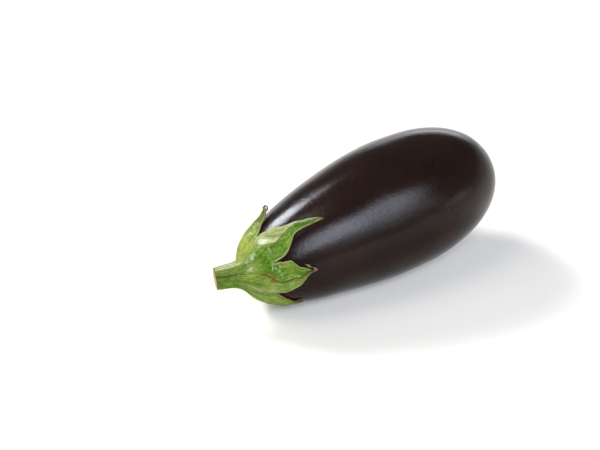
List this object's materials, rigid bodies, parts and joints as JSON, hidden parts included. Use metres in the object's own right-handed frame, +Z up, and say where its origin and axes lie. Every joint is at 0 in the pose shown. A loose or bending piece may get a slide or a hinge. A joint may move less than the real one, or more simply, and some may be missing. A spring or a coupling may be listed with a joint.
{
  "type": "eggplant",
  "caption": "Whole eggplant lying on its side, with a pointed leafy calyx over its neck and a short cut stem.",
  "frame": {"origin": "centre of the small flat spot that the fruit rests on, on the surface it lies on", "axes": "+X along the fruit from its stem to its blossom end, +Z up as it lies, +Y to the side"},
  "size_m": [0.2045, 0.0874, 0.0896],
  "materials": {
    "skin": "smooth waxy skin, nearly black with a brown-purple cast, glossy",
    "sepal_green": "fleshy green leaf with pale ribs and dry tan tips, satin",
    "stalk_green": "ribbed green stalk with a pale, dry cut end, satin"
  },
  "bodies": {
    "root": {"fruit": "skin", "calyx": "sepal_green", "stem": "stalk_green"}
  },
  "joints": []
}
